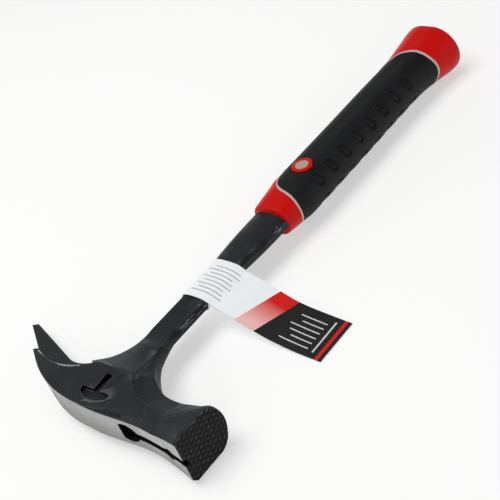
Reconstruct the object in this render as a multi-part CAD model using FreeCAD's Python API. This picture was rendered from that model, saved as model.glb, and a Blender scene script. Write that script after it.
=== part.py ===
import FreeCAD, Part
import math
import os

from FreeCAD import Vector

# A one-piece forged roofing hammer lying on its side, in millimetres.
# +X runs down the handle to the butt, +Y points to the claw and +Z is up.
# It is modelled about its own middle plane, from where the shaft centreline crosses
# the head, and moved at the end so that the origin is the middle of its base.

# Head, with heights measured from the head centreline towards the poll
poll_height = 11.8
poll_middle_height = 11.3
poll_waist_height = 10.8
poll_half_width = 8.4
poll_waist_half_width = 8.2
head_half_thickness = 10.5
cheek_draft = 1.7
plate_depth = 12.6
hip_edge_height = 11.2
middle_edge_height = 9.6
middle_edge_half_thickness = 9.3
middle_cheek_depth = 2.2
middle_cheek_half_thickness = 9.8
waist_edge_height = 5.2
waist_edge_half_thickness = 9.7
waist_cheek_height = 0.6
waist_cheek_half_thickness = 9.8
neck_sole_half_width = 5.6

# Striking face, and the flare that widens the neck to it
face_reach = 68.7
face_height = 14.0
face_depth = 15.4
face_half_width = 14.0
face_corner = 2.6
face_side_depth = 6.8
face_round_depth = 11.6
face_round_half_width = 11.3
face_sole_depth = 13.7
face_sole_half_width = 7.6
face_rim = 2.6
face_bevel = 1.0
flare_start = 48.5
flare_ridge_half_thickness = 10.4
flare_ridge_height = 3.4
flare_ridge_length = 1.8
flare_poll_height = 11.6
poll_dip = 0.4

# Milled grooves that cross on the face at an acute angle to the handle
groove_pitch = 2.65
groove_depth = 0.85
groove_half_width = 0.95
groove_turn = 30.0

# Nail holder in the poll: head pocket, shank groove and magnet
nail_groove_width = 4.0
nail_groove_depth = 2.4
pocket_reach = 23.4
pocket_wall_half_width = 4.6
pocket_half_width = 5.7
pocket_length = 11.4
pocket_depth = 3.8
magnet_setback = 11.2
magnet_radius = 3.4
magnet_thickness = 4.0

# Throat: arcs that join the shaft to the neck and to the claw
throat_start = 45.0
neck_throat_radius = 34.5
neck_wall_half_thickness = 5.0
claw_throat_radius = 28.0
claw_throat_start = 43.0
claw_wall_half_thickness = 1.0
spike_wall_half_thickness = 6.0
hip_turn = 39.6
waist_turn = 20.0

# Claw: a long spike on the far side and a short tine on the near side
claw_back_radius = 85.0
claw_back_sweep = 32.2
spike_reach = 92.0
spike_tip_thickness = 3.6
claw_tip_slant = 2.2
spike_tip_half_thickness = 9.6
spike_wall_tip = 6.2
spike_heel_radius = 32.0
spike_heel_sweep = 21.0
spike_plate_reach = 25.0
tine_reach = 58.5
tine_tip_thickness = 3.2
tine_tip_half_thickness = 7.6
tine_waist_reach = 31.0
tine_waist_depth = 4.2
tine_heel_reach = 11.0
claw_taper_start = 20.0
notch_vertex = 26.0
notch_vertex_half_width = 0.5
notch_mouth = 44.0
notch_mouth_half_width = 3.9

# T-shaped blind slot in the near cheek
slot_depth = 3.2
slot_centre = 2.1
slot_stem_width = 4.4
slot_stem_depth = 8.6
slot_bar_half_length = 9.5
slot_bar_height = 1.7
slot_bar_end_height = 4.6
slot_bar_crown_height = 7.6

# Shaft, an eight-sided bar that widens towards the grip, and its tang
shaft_half_width = 8.8
shaft_flat_half_width = 6.5
shaft_half_thickness = 3.25
shaft_edge_half_thickness = 0.85
shaft_taper_setback = 49.4
shoulder_setback = 24.4
shoulder_half_width = 11.2
shoulder_flat_half_width = 7.9
shoulder_half_thickness = 3.5
shoulder_crown = 0.3
shoulder_edge_half_thickness = 1.3
shaft_cover = 2.6
shaft_end_half_width = 11.8
shaft_end_flat_half_width = 11.0
shaft_end_half_thickness = 2.2
shaft_end_crown = 3.8
shaft_end_edge_half_thickness = 1.2
tang_half_width = 8.0
tang_half_thickness = 3.4
tang_end_cover = 18.0
tang_end_taper = 10.0
tang_tip_half_width = 5.5

# Grip: obround, with two turned sides joined by a flat middle
grip_side_offset = 3.0
collar_start = 137.4
collar_half_depth = 9.1
collar_round = 1.8
collar_length = 21.1
palm_half_depth = 11.7
grip_length = 166.6
butt_length = 38.0
butt_flare_length = 23.0
butt_neck_half_depth = 12.2
butt_half_depth = 15.5
butt_round = 3.0
round_shares = (0.0, 0.75, 1.0)

# Soft sleeve over a straight core, and the thin trim rings at its two ends
core_half_depth = 9.0
trim_width = 1.5
sleeve_front_setbacks = (11.1, 15.6, 30.6)
sleeve_rear_setbacks = (22.0, 26.5, 35.5)
sleeve_edge_shares = (-0.8, 0.15, 0.75)
sleeve_cut_reach = 40.0

# Shallow finger pads on both shoulders of the sleeve
pad_setback = 20.0
pad_end_margin = 20.0
pad_pitch = 12.8
pad_width = 5.2
pad_length = 9.0
pad_bevel = 1.5
pad_depth = 0.9
pad_side_reach = 12.0
pad_rise = 6.2

# Lock pin through grip and tang, with a bezel at each end
pin_setback = 18.5
pin_radius = 3.8
bezel_radius = 6.1
bezel_seat = 2.8
bezel_stand = 0.35

# Paper label: a wrap round the shaft, and a flag that droops to the table
paper = 0.3
label_lead = 15.0
label_width = 28.4
wrap_side_gap = 0.5
wrap_shoulder_inset = 1.0
wrap_shoulder_gap = 1.95
wrap_flat_inset = 1.5
wrap_top_gap = 1.45
flag_width = 26.6
flag_inset = 0.9
flag_turn = 2.6
flag_root_height = 0.2
flag_knee_reach = 33.0
flag_knee_drop = 7.6
flag_bow = 0.8
flag_land_reach = 60.0
flag_land_rise = 1.8
flag_end_reach = 78.6
flag_lift = 0.4

# Bevelled throat corners, as shares of turn, of run and of both edges' rise
neck_corner_shares = (
    (0.0, 0.0, 1.0, 1.0),
    (0.3, 0.26, 0.66, 0.57),
    (0.6, 0.57, 0.37, 0.25),
    (0.8, 0.78, 0.18, 0.1),
    (1.0, 1.0, 0.0, 0.0),
)
claw_corner_shares = (
    (-0.25, -0.1, 1.3, 1.0),
    (0.0, 0.0, 1.0, 1.0),
    (0.18, 0.1, 0.66, 0.8),
    (0.32, 0.22, 0.34, 0.6),
    (0.48, 0.4, 0.09, 0.4),
    (0.61, 0.55, -0.07, 0.3),
    (0.75, 0.72, -0.14, 0.2),
    (0.87, 0.85, -0.1, 0.1),
    (1.0, 1.0, 0.0, 0.0),
)
tine_web_corner = 13.4
spike_web_corner = 22.0
corner_slant_share = 0.4

# Every cut runs past its face by this much
overrun = 5.0

# Places along the handle that follow from the sizes above
magnet_reach = face_reach - magnet_setback
shaft_taper_start = collar_start - shaft_taper_setback
shoulder_reach = collar_start - shoulder_setback
shaft_end = collar_start + shaft_cover
palm_start = collar_start + collar_length
butt_end = collar_start + grip_length
tang_end = butt_end - tang_end_cover
palm_end = butt_end - butt_length
butt_neck_reach = butt_end - butt_flare_length
sleeve_fronts = [collar_start + setback for setback in sleeve_front_setbacks]
sleeve_rears = [butt_end - setback for setback in sleeve_rear_setbacks]
pad_start = sleeve_fronts[0] + pad_setback
pad_count = 1 + math.floor((sleeve_rears[0] - pad_end_margin - pad_start) / pad_pitch)
pin_reach = sleeve_fronts[1] + pin_setback
label_start = shaft_taper_start - label_lead
label_end = label_start + label_width

# Half width by which the wrap spreads as the shaft under it widens
wrap_spread = ((shoulder_half_width - shaft_half_width) * (label_end - shaft_taper_start)
               / (shoulder_reach - shaft_taper_start))


def at(x, y, z=0.0):
    return Vector(x, y, z)


def line(a, b):
    return Part.makeLine(a, b)


def arc(a, b, c):
    return Part.Arc(a, b, c).toShape()


def closed(points):
    """Straight-sided outline through the points."""
    return [line(a, b) for a, b in zip(points, points[1:] + points[:1])]


def on_circle(centre, radius, degrees, side=1):
    """Point on a throat circle: 0 degrees points at the poll, 90 at the shaft."""
    turn = math.radians(degrees)
    return at(centre.x - radius * math.cos(turn), centre.y + side * radius * math.sin(turn))


def prism(edges, direction):
    return Part.Face(Part.Wire(edges)).extrude(direction)


def side_prism(edges, low, high):
    """Solid from a side-view outline, between two heights."""
    body = prism(edges, at(0, 0, high - low))
    body.translate(at(0, 0, low))
    return body


def flipped(shape):
    """Mirror image on the other side of the middle plane."""
    return shape.mirror(at(0, 0), at(0, 0, 1))


def joined(first, *others):
    return first.fuse(list(others)).removeSplitter()


neck_centre = at(throat_start, -(shaft_half_width + neck_throat_radius))
claw_centre = at(claw_throat_start, shaft_half_width + claw_throat_radius)
web_rise = head_half_thickness - shaft_half_thickness
web_run = throat_start - plate_depth
web_radius = (web_run ** 2 + web_rise ** 2) / (2 * web_rise)
hip_slope = math.tan(math.radians(hip_turn))
poll_hip = at(-poll_height, neck_centre.y + (throat_start + poll_height) * hip_slope)
plate_hip = at(plate_depth, neck_centre.y + web_run * hip_slope)


def cheek_half_thickness(x):
    """Half thickness of the head, whose cheeks draw in towards the poll."""
    return head_half_thickness - cheek_draft * (plate_depth - x) / (plate_depth + poll_height)


def web_half_thickness(x):
    """Half thickness of the hollow slope between the cheek and the shaft."""
    return shaft_half_thickness + web_radius - math.sqrt(web_radius ** 2 - (throat_start - x) ** 2)


def neck_section(turn, heights, halves):
    """Eight-sided neck section on a plane through the centre of the neck throat."""
    radii = [(throat_start + height) / math.cos(math.radians(turn)) for height in heights]
    radii.append(neck_throat_radius)
    near = [on_circle(neck_centre, r, turn) + at(0, 0, half) for r, half in zip(radii, halves)]
    far = [at(p.x, p.y, -p.z) for p in reversed(near)]
    return Part.Wire(closed(near + far))


def face_wire(reach, inset=0.0):
    """Outline of the striking face: flat top and sides, rounded towards the handle."""
    width = face_half_width - inset
    top = at(-face_height + inset, -reach, width - face_corner)
    shoulder = at(-face_height + face_corner, -reach, width)
    side = at(face_side_depth, -reach, width)
    turn = at(face_round_depth - inset, -reach, face_round_half_width - inset)
    sole = at(face_sole_depth - inset, -reach, face_sole_half_width)
    near = (top, shoulder, side, turn, sole)
    top_far, shoulder_far, side_far, turn_far, sole_far = [at(p.x, p.y, -p.z) for p in near]
    return Part.Wire([
        line(top, shoulder),
        line(shoulder, side),
        arc(side, turn, sole),
        arc(sole, at(face_depth - inset, -reach), sole_far),
        arc(sole_far, turn_far, side_far),
        line(side_far, shoulder_far),
        line(shoulder_far, top_far),
        line(top_far, top),
    ])


def flare_wire():
    """Neck section where the flat facets of the flare begin."""
    sole_depth = throat_start - math.sqrt(neck_throat_radius ** 2 - (neck_centre.y + flare_start) ** 2)
    near = [
        at(-flare_poll_height, -flare_start, poll_waist_half_width),
        at(-flare_ridge_height, -flare_start, flare_ridge_half_thickness),
        at(flare_ridge_length - flare_ridge_height, -flare_start, flare_ridge_half_thickness),
        at(sole_depth, -flare_start, neck_sole_half_width),
    ]
    far = [at(p.x, p.y, -p.z) for p in reversed(near)]
    return Part.Wire(closed(near + far))


def build_neck():
    hip = neck_section(
        hip_turn,
        (poll_height, hip_edge_height, -plate_depth),
        (cheek_half_thickness(-poll_height), cheek_half_thickness(-hip_edge_height),
         head_half_thickness, neck_wall_half_thickness),
    )
    middle = neck_section(
        waist_turn,
        (poll_middle_height, middle_edge_height, -middle_cheek_depth),
        (poll_half_width, middle_edge_half_thickness, middle_cheek_half_thickness, neck_sole_half_width),
    )
    waist = neck_section(
        0,
        (poll_waist_height, waist_edge_height, waist_cheek_height),
        (poll_waist_half_width, waist_edge_half_thickness, waist_cheek_half_thickness,
         neck_sole_half_width),
    )
    neck = Part.makeLoft([hip, middle, waist, flare_wire()], True, False)
    flare = Part.makeLoft([flare_wire(), face_wire(face_reach - face_rim)], True, True)
    return neck, flare


def build_ground_poll():
    """Cutter that leaves the poll ground flat across and hollow along the flare."""
    start = at(-poll_waist_height, neck_centre.y)
    end = at(-face_height, -face_reach)
    top = at(-2 * face_height, 0)
    past = at(0, -overrun)
    return side_prism([
        arc(start, (start + end) / 2 + at(poll_dip, 0), end),
        line(end, end + past),
        line(end + past, end + past + top),
        line(end + past + top, start + top),
        line(start + top, start),
    ], -2 * face_half_width, 2 * face_half_width)


def build_milled_face():
    """Face plate cut by two families of V grooves, which leave rows of pyramids."""
    rim = Part.makeLoft([face_wire(face_reach - face_rim), face_wire(face_reach - face_bevel)], True, True)
    edge = Part.makeLoft([face_wire(face_reach - face_bevel), face_wire(face_reach, face_bevel)], True, True)
    plate = joined(rim, edge)
    half_length = face_height + face_depth
    count = math.ceil(half_length / groove_pitch)
    grooves = []
    for turn in (groove_turn, -groove_turn):
        for step in range(-count, count + 1):
            place = step * groove_pitch
            profile = closed([
                at(-half_length, -face_reach + groove_depth, place),
                at(-half_length, -face_reach - groove_depth, place - 2 * groove_half_width),
                at(-half_length, -face_reach - groove_depth, place + 2 * groove_half_width),
            ])
            groove = prism(profile, at(2 * half_length, 0))
            groove.rotate(at(0, 0), at(0, 1, 0), turn)
            grooves.append(groove)
    return plate.cut(grooves)


def claw_back(reach):
    """Edges of the claw's back from the poll, its end, and the two directions there."""
    centre = at(claw_back_radius - poll_height, poll_hip.y)
    bend = on_circle(centre, claw_back_radius, claw_back_sweep)
    middle = on_circle(centre, claw_back_radius, claw_back_sweep / 2)
    sweep = math.radians(claw_back_sweep)
    along = at(math.sin(sweep), math.cos(sweep))
    across = at(math.cos(sweep), -math.sin(sweep))
    tip = bend + along * ((reach - bend.y) / along.y)
    return [arc(poll_hip, middle, bend), line(bend, tip)], tip, along, across


def build_claw():
    """Cheek plate, spike and tine, split by the nail notch."""
    back, tip, along, across = claw_back(spike_reach)
    inner_tip = tip + across * spike_tip_thickness - along * claw_tip_slant
    throat = at(claw_throat_start - claw_throat_radius, claw_centre.y)
    heel_centre = at(throat.x + spike_heel_radius, throat.y)
    heel = on_circle(heel_centre, spike_heel_radius, spike_heel_sweep)
    heel_middle = on_circle(heel_centre, spike_heel_radius, spike_heel_sweep / 2)
    plate_end = at(plate_depth, spike_plate_reach)
    spike = side_prism(back + [
        line(tip, inner_tip),
        line(inner_tip, heel),
        arc(heel, heel_middle, throat),
        line(throat, plate_end),
        line(plate_end, plate_hip),
        line(plate_hip, poll_hip),
    ], -head_half_thickness, 0)

    back, tip, along, across = claw_back(tine_reach)
    inner_tip = tip + across * tine_tip_thickness - along * claw_tip_slant
    tine_heel = at(plate_depth, tine_heel_reach)
    tine = side_prism(back + [
        line(tip, inner_tip),
        arc(inner_tip, at(tine_waist_depth, tine_waist_reach), tine_heel),
        line(tine_heel, plate_hip),
        line(plate_hip, poll_hip),
    ], 0, head_half_thickness)

    return joined(spike, tine).common(claw_plan()).common(build_draft())


def claw_plan():
    """Plan of the claw seen along the handle: cheeks that taper and the notch between."""
    far_end = spike_reach + overrun
    tine_end = tine_reach + overrun
    plan = prism(closed([
        at(0, -throat_start, head_half_thickness),
        at(0, claw_taper_start, head_half_thickness),
        at(0, tine_reach, tine_tip_half_thickness),
        at(0, tine_end, tine_tip_half_thickness),
        at(0, tine_end, notch_mouth_half_width),
        at(0, notch_mouth, notch_mouth_half_width),
        at(0, notch_vertex, notch_vertex_half_width),
        at(0, notch_vertex, -notch_vertex_half_width),
        at(0, notch_mouth, -notch_mouth_half_width),
        at(0, spike_reach, -spike_wall_tip),
        at(0, far_end, -spike_wall_tip),
        at(0, far_end, -spike_tip_half_thickness),
        at(0, spike_reach, -spike_tip_half_thickness),
        at(0, claw_taper_start, -head_half_thickness),
        at(0, -throat_start, -head_half_thickness),
    ]), at(2 * throat_start, 0))
    plan.translate(at(-throat_start, 0))
    return plan


def build_draft():
    """Wedge between the head's two cheeks, which draw in towards the poll."""
    deep = 2 * claw_throat_start
    low = cheek_half_thickness(-poll_height)
    wedge = prism(closed([
        at(-poll_height, 0, low),
        at(plate_depth, 0, head_half_thickness),
        at(deep, 0, head_half_thickness),
        at(deep, 0, -head_half_thickness),
        at(plate_depth, 0, -head_half_thickness),
        at(-poll_height, 0, -low),
    ]), at(0, 2 * spike_reach))
    wedge.translate(at(0, -throat_start))
    return wedge


def build_slot():
    """Cutter for the T slot: a straight stem and a bar with a crowned edge."""
    half = slot_stem_width / 2
    bar_high = -slot_bar_height
    left = slot_bar_half_length - slot_centre
    right = -slot_bar_half_length - slot_centre
    edges = [
        line(at(slot_stem_depth, half - slot_centre), at(bar_high, half - slot_centre)),
        line(at(bar_high, half - slot_centre), at(bar_high, left)),
        line(at(bar_high, left), at(-slot_bar_end_height, left)),
        arc(at(-slot_bar_end_height, left), at(-slot_bar_crown_height, -slot_centre),
            at(-slot_bar_end_height, right)),
        line(at(-slot_bar_end_height, right), at(bar_high, right)),
        line(at(bar_high, right), at(bar_high, -half - slot_centre)),
        line(at(bar_high, -half - slot_centre), at(slot_stem_depth, -half - slot_centre)),
        line(at(slot_stem_depth, -half - slot_centre), at(slot_stem_depth, half - slot_centre)),
    ]
    return side_prism(edges, head_half_thickness - slot_depth, head_half_thickness + overrun)


def throat_corner(centre, radius, side, end_turn, shares, web_corner, wall_half):
    """Cutter along one corner of the throat, from the web line down to the side wall."""
    wires = []
    for turn_share, run_share, side_share, wall_share in shares:
        x = plate_depth + web_run * run_share
        y = shaft_flat_half_width + (web_corner - shaft_flat_half_width) * side_share
        web = at(x, side * y, web_half_thickness(x))
        wall = on_circle(centre, radius, end_turn + (90 - end_turn) * turn_share, -side)
        if run_share == 1:
            wall = at(throat_start, side * shaft_half_width)
        wall.z = shaft_edge_half_thickness + (wall_half - shaft_edge_half_thickness) * wall_share
        slant = (web - wall) * corner_slant_share
        outward = at(0, side) if run_share == 1 else (centre - at(wall.x, wall.y)).normalize()
        corner = at(wall.x, wall.y, web.z) + outward * overrun + at(0, 0, overrun)
        wires.append(Part.Wire(closed([web + slant, wall - slant, corner])))
    return Part.makeLoft(wires, True, False)


def throat_blank(end_turn, end, low, high):
    """One half of the throat between both walls, from its middle plane to a cheek."""
    neck_end = at(throat_start, -shaft_half_width)
    claw_end = at(throat_start, shaft_half_width)
    claw_bend = at(claw_throat_start, shaft_half_width)
    claw_wall = on_circle(claw_centre, claw_throat_radius, end_turn, -1)
    return side_prism([
        line(plate_hip, on_circle(neck_centre, neck_throat_radius, hip_turn)),
        arc(on_circle(neck_centre, neck_throat_radius, hip_turn),
            on_circle(neck_centre, neck_throat_radius, (90 + hip_turn) / 2), neck_end),
        line(neck_end, claw_end),
        line(claw_end, claw_bend),
        arc(claw_bend, on_circle(claw_centre, claw_throat_radius, (90 + end_turn) / 2, -1), claw_wall),
        line(claw_wall, end),
        line(end, plate_hip),
    ], low, high)


def build_throat():
    """Web that fans out from the shaft to the head, with hollow slopes and bevelled corners."""
    tine_turn = math.degrees(math.asin((claw_centre.y - notch_vertex) / claw_throat_radius))
    near_blank = throat_blank(tine_turn, at(plate_depth, tine_heel_reach), 0, head_half_thickness)
    far_blank = throat_blank(0, at(plate_depth, spike_plate_reach), -head_half_thickness, 0)
    middle = plate_depth + web_run / 2
    reach = claw_centre.y - neck_centre.y
    slope = prism([
        line(at(plate_depth, 0, -head_half_thickness), at(plate_depth, 0, head_half_thickness)),
        arc(at(plate_depth, 0, head_half_thickness), at(middle, 0, web_half_thickness(middle)),
            at(throat_start, 0, shaft_half_thickness)),
        line(at(throat_start, 0, shaft_half_thickness), at(throat_start, 0, -shaft_half_thickness)),
        arc(at(throat_start, 0, -shaft_half_thickness), at(middle, 0, -web_half_thickness(middle)),
            at(plate_depth, 0, -head_half_thickness)),
    ], at(0, 2 * reach))
    slope.translate(at(0, -reach))
    throat = joined(near_blank, far_blank).common(slope).common(claw_plan())
    neck_tool = throat_corner(neck_centre, neck_throat_radius, -1, hip_turn, neck_corner_shares,
                              -plate_hip.y, neck_wall_half_thickness)
    near_tool = throat_corner(claw_centre, claw_throat_radius, 1, tine_turn, claw_corner_shares,
                              tine_web_corner, claw_wall_half_thickness)
    far_tool = throat_corner(claw_centre, claw_throat_radius, 1, 0, claw_corner_shares,
                             spike_web_corner, spike_wall_half_thickness)
    for tool in (neck_tool, flipped(neck_tool), near_tool, flipped(far_tool)):
        throat = throat.cut(tool)
    return throat


def shaft_wire(x, half_width, flat_half_width, half_thickness, edge_half_thickness, crown=0.0):
    """Bar section with bevelled edges, flat or crowned on both broad sides."""
    corner = at(x, flat_half_width, half_thickness)
    edge = at(x, half_width, edge_half_thickness)
    far = [at(p.x, p.y, -p.z) for p in (edge, corner)]
    right = [line(corner, edge), line(edge, far[0]), line(*far)]
    left = [part.mirror(at(0, 0), at(0, 1)) for part in right]
    for side in (1, -1):
        start = at(x, flat_half_width, side * half_thickness)
        end = at(x, -flat_half_width, side * half_thickness)
        top = at(x, 0, side * (half_thickness + crown))
        left.append(arc(start, top, end) if crown else line(start, end))
    return Part.Wire(Part.sortEdges(right + left)[0])


def build_shaft():
    root = (shaft_half_width, shaft_flat_half_width, shaft_half_thickness, shaft_edge_half_thickness)
    bar = Part.makeLoft([shaft_wire(throat_start, *root), shaft_wire(shaft_taper_start, *root)], True, True)
    taper = Part.makeLoft([
        shaft_wire(shaft_taper_start, *root),
        shaft_wire(shoulder_reach, shoulder_half_width, shoulder_flat_half_width,
                   shoulder_half_thickness, shoulder_edge_half_thickness, shoulder_crown),
        shaft_wire(shaft_end, shaft_end_half_width, shaft_end_flat_half_width,
                   shaft_end_half_thickness, shaft_end_edge_half_thickness, shaft_end_crown),
    ], True, False)
    taper_end = tang_end - tang_end_taper
    tang = side_prism(closed([
        at(shaft_end, -tang_half_width),
        at(shaft_end, tang_half_width),
        at(taper_end, tang_half_width),
        at(tang_end, tang_tip_half_width),
        at(tang_end, -tang_tip_half_width),
        at(taper_end, -tang_half_width),
    ]), -tang_half_thickness, tang_half_thickness)
    return bar, taper, tang


groove_floor = nail_groove_depth - poll_waist_height
face_floor = nail_groove_depth - face_height
floor_run = face_reach - flare_start
floor_slope = math.atan2(groove_floor - face_floor, floor_run)
magnet_seat = at(
    groove_floor - (magnet_reach - flare_start) * math.tan(floor_slope), -magnet_reach)
magnet_axis = at(-math.cos(floor_slope), math.sin(floor_slope))


def build_nail_holder():
    """Cutters for the nail groove, the pocket for the nail's head and the magnet's bore."""
    half = nail_groove_width / 2
    top = -face_height - overrun
    end = -face_reach - overrun
    groove = prism(closed([
        at(top, -pocket_reach, -half),
        at(groove_floor, -pocket_reach, -half),
        at(groove_floor, -flare_start, -half),
        at(groove_floor + (end + flare_start) * math.tan(floor_slope), end, -half),
        at(top, end, -half),
    ]), at(0, 0, nail_groove_width))
    back = pocket_reach
    middle = back + pocket_length / 2
    front = back + pocket_length
    pocket_floor = pocket_depth - poll_middle_height
    pocket = prism([
        line(at(top, -back, pocket_wall_half_width), at(top, -back, -pocket_wall_half_width)),
        arc(at(top, -back, -pocket_wall_half_width), at(top, -middle, -pocket_half_width),
            at(top, -front, -half)),
        line(at(top, -front, -half), at(top, -front, half)),
        arc(at(top, -front, half), at(top, -middle, pocket_half_width),
            at(top, -back, pocket_wall_half_width)),
    ], at(pocket_floor - top, 0))
    base = magnet_seat - magnet_axis * magnet_thickness
    bore = Part.makeCylinder(magnet_radius, magnet_thickness + 2 * overrun, base, magnet_axis)
    return groove, pocket, bore


def build_forging():
    neck, flare = build_neck()
    bar, taper, tang = build_shaft()
    body = joined(neck, flare, build_claw(), build_throat(), bar, taper, tang, build_milled_face())
    pin_hole = Part.makeCylinder(
        pin_radius, 2 * tang_half_thickness + 2 * overrun,
        at(pin_reach, 0, -tang_half_thickness - overrun))
    return body.cut([build_ground_poll(), build_slot(), *build_nail_holder(), pin_hole])


def build_magnet():
    base = magnet_seat - magnet_axis * magnet_thickness
    return Part.makeCylinder(magnet_radius, magnet_thickness, base, magnet_axis)


def obround(ridge):
    """Body along the handle: a line of (place, half depth) turned at both sides of a flat middle."""
    ends = at(ridge[0][0], 0), at(ridge[-1][0], 0)
    rim = [at(x, 0, depth) for x, depth in ridge]
    half = Part.Face(Part.Wire(closed([ends[0], *rim, ends[1]])))
    side = half.revolve(at(0, 0), at(1, 0), -180)
    side.translate(at(0, grip_side_offset))
    middle = half.extrude(at(0, 2 * grip_side_offset))
    middle.translate(at(0, -grip_side_offset))
    return joined(middle, flipped(middle), side, side.mirror(at(0, 0), at(0, 1)))


def grip_form(growth=0.0):
    """The grip's outer form, or the same form grown outwards."""
    ridge = []
    for share in round_shares:
        ridge.append((collar_start + collar_round * (1 - math.sqrt(1 - share ** 2)),
                      collar_half_depth - collar_round * (1 - share) + growth))
    ridge += [
        (palm_start, palm_half_depth + growth),
        (palm_end, palm_half_depth + growth),
        (butt_neck_reach, butt_neck_half_depth + growth),
    ]
    for share in reversed(round_shares):
        ridge.append((butt_end - butt_round * (1 - math.sqrt(1 - share ** 2)),
                      butt_half_depth - butt_round * (1 - share) + growth))
    return obround(ridge)


def sleeve_zone(spread=0.0):
    """Block between the sleeve's two slanted, curved ends, spread by the trim."""
    half_width = grip_side_offset + palm_half_depth
    sides = [share * half_width for share in sleeve_edge_shares]
    front = [at(x - spread, y) for x, y in zip(sleeve_fronts, sides)]
    rear = [at(x + spread, y) for x, y in zip(sleeve_rears, sides)]
    low = -sleeve_cut_reach
    edges = [
        line(at(front[0].x, low), front[0]),
        arc(*front),
        line(front[2], at(front[2].x, -low)),
        line(at(front[2].x, -low), at(rear[2].x, -low)),
        line(at(rear[2].x, -low), rear[2]),
        arc(rear[2], rear[1], rear[0]),
        line(rear[0], at(rear[0].x, low)),
        line(at(rear[0].x, low), at(front[0].x, low)),
    ]
    return side_prism(edges, -sleeve_cut_reach, sleeve_cut_reach)


def finger_pads(form):
    """Skin-deep pads with bevelled corners along one shoulder of the grip."""
    skin = form.cut(grip_form(-pad_depth))
    slant = math.degrees(math.atan2(pad_rise, pad_side_reach - grip_side_offset))
    side = pad_width / 2
    end = pad_length / 2
    top = [at(side, end - pad_bevel), at(side - pad_bevel, end),
           at(pad_bevel - side, end), at(-side, end - pad_bevel)]
    outline = top + [-corner for corner in top]
    inward = at(0, math.cos(math.radians(slant)), -math.sin(math.radians(slant)))
    pads = []
    for step in range(pad_count):
        pad = prism(closed(outline), at(0, 0, 2 * overrun))
        pad.rotate(at(0, 0), at(1, 0, 0), 90 - slant)
        pad.translate(at(pad_start + step * pad_pitch, -pad_side_reach, pad_rise) + inward * overrun)
        pads.append(pad.common(skin))
    return pads


def build_pin_parts():
    """Lock pin and its two bezels, trimmed to stand just proud of the grip."""
    reach = 2 * sleeve_cut_reach
    proud = grip_form(bezel_stand)
    pin = Part.makeCylinder(pin_radius, reach, at(pin_reach, 0, -sleeve_cut_reach)).common(proud)
    seat = palm_half_depth - bezel_seat
    blank = Part.makeCylinder(bezel_radius, sleeve_cut_reach, at(pin_reach, 0, seat))
    hole = Part.makeCylinder(pin_radius, reach, at(pin_reach, 0, -sleeve_cut_reach))
    near = blank.cut(hole).common(proud)
    return pin, near, flipped(near), blank, hole


def build_grip(forging):
    form = grip_form()
    shell = form.cut(obround([(collar_start, core_half_depth), (butt_end, core_half_depth)]))
    covered = shell.common(sleeve_zone(trim_width))
    sleeve = shell.common(sleeve_zone())
    rings = covered.cut(sleeve_zone())
    front_trim, rear_trim = sorted(rings.Solids, key=lambda ring: ring.CenterOfMass.x)
    pin, bezel_near, bezel_far, seat, hole = build_pin_parts()

    openings = [covered, forging, hole, seat, flipped(seat)]
    core = form.cut(openings)
    pads = finger_pads(form)
    pads += [flipped(pad) for pad in pads]
    sleeve = sleeve.cut(pads + [hole, seat, flipped(seat)])
    return {
        "grip_core": core,
        "grip_sleeve": sleeve,
        "front_trim": front_trim,
        "rear_trim": rear_trim,
        "lock_pin": pin,
        "bezel_near": bezel_near,
        "bezel_far": bezel_far,
    }


def wrap_wire(x, spread, inset):
    """Ten-sided section of paper creased round the shaft."""
    flat = at(x, shaft_flat_half_width - wrap_flat_inset + spread,
              shaft_half_thickness + wrap_top_gap - inset)
    shoulder = at(x, shaft_half_width - wrap_shoulder_inset + spread - inset,
                  shaft_edge_half_thickness + wrap_shoulder_gap - inset)
    side = at(x, shaft_half_width + wrap_side_gap + spread - inset)
    right = [flat, shoulder, side, at(x, shoulder.y, -shoulder.z), at(x, flat.y, -flat.z)]
    return Part.Wire(closed(right + [at(x, -p.y, p.z) for p in reversed(right) if p.y]))


def build_label(forging):
    """Paper wrapped round the shaft and glued to itself as a drooping flag."""
    wrap, space = [
        Part.makeLoft(
            [wrap_wire(label_start, 0.0, inset), wrap_wire(label_end, wrap_spread, inset)], True, True)
        for inset in (0.0, paper)
    ]
    wrap = wrap.cut([space, forging])

    landing = flag_lift - butt_half_depth
    root = at(0, -shaft_half_width, flag_root_height)
    knee = at(0, -flag_knee_reach, -flag_knee_drop)
    land = at(0, -flag_land_reach, landing + flag_land_rise)
    end = at(0, -flag_end_reach, landing)
    first_bow = (root + knee) / 2 + at(0, 0, flag_bow)
    second_bow = (knee + land) / 2 - at(0, 0, flag_bow)
    up = at(0, 0, 2 * paper)
    sheet = prism([
        arc(root, first_bow, knee),
        arc(knee, second_bow, land),
        line(land, end),
        line(end, end + up),
        line(end + up, land + up),
        arc(land + up, second_bow + up, knee + up),
        arc(knee + up, first_bow + up, root + up),
        line(root + up, root),
    ], at(flag_width, 0))
    sheet.translate(at(label_start + flag_inset, 0))
    sheet.rotate(at(label_start + label_width / 2, -shaft_half_width), at(0, 0, 1), -flag_turn)
    return wrap.fuse(sheet.cut(forging))


def main():
    os.makedirs("parts", exist_ok=True)
    forging = build_forging()
    pieces = {"forging": forging, "nail_magnet": build_magnet()}
    pieces.update(build_grip(forging))
    pieces["label"] = build_label(forging)
    whole = Part.makeCompound(list(pieces.values())).optimalBoundingBox(False, False)
    base = at(-whole.Center.x, -whole.Center.y, -whole.ZMin)
    print("moved by", base)
    for name, shape in pieces.items():
        if len(shape.Solids) == 1:
            shape = shape.Solids[0]
        shape.translate(base)
        shape.exportStep(os.path.join("parts", name + ".step"))
        box = shape.BoundBox
        print(name, shape.ShapeType, shape.isValid(), len(shape.Solids), round(shape.Volume, 1),
              [round(v, 1) for v in (box.XMin, box.XMax, box.YMin, box.YMax, box.ZMin, box.ZMax)])


main()
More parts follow.
